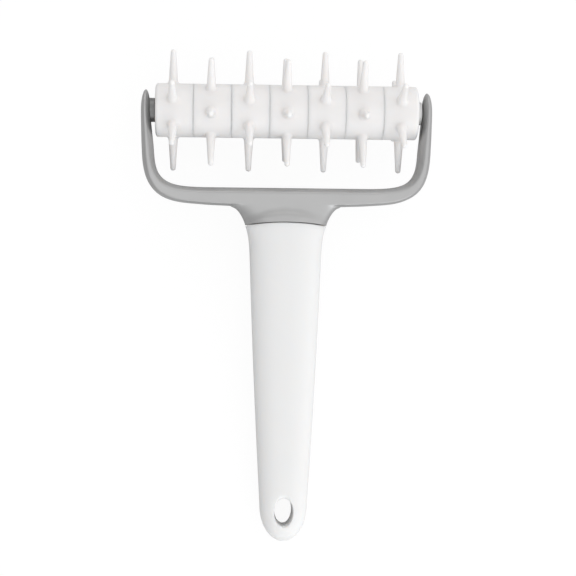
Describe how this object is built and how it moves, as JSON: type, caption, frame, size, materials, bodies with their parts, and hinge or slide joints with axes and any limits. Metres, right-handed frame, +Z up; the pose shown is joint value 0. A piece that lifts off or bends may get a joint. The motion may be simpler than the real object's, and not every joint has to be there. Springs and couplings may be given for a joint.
{
  "type": "dough docker",
  "caption": "Dough docker: spiked plastic rings on a core turn on a steel rod between the arms of a grey fork, on a white tapered handle with a hang hole.",
  "frame": {"origin": "on the table, below the middle of the tool's outline as it lies on its spikes and the end of its handle", "axes": "+X along the roller's axle to the right, +Y from the handle's end towards the roller, +Z up"},
  "size_m": [0.1188, 0.1986, 0.0477],
  "materials": {
    "fork_plastic": "satin moulded mid-grey plastic",
    "handle_plastic": "satin moulded white plastic",
    "ring_plastic": "slightly milky semi-gloss white plastic",
    "core_plastic": "plain moulded off-white plastic",
    "rod_steel": "bright drawn rod"
  },
  "bodies": {
    "handle_and_fork": {"fork": "fork_plastic", "handle": "handle_plastic", "axle_rod": "rod_steel"},
    "roller": {"roller_core": "core_plastic", "end_cap_left": "core_plastic", "end_cap_right": "core_plastic", "spiked_ring_1": "ring_plastic", "spiked_ring_2": "ring_plastic", "spiked_ring_3": "ring_plastic", "spiked_ring_4": "ring_plastic", "spiked_ring_5": "ring_plastic", "spiked_ring_6": "ring_plastic", "spiked_ring_7": "ring_plastic"}
  },
  "joints": [
    {"name": "roller_spin", "type": "hinge", "parent": "handle_and_fork", "child": "roller", "pos_m": [0, 0.07544, 0.02386], "axis": [1, 0, 0], "continuous": true}
  ]
}
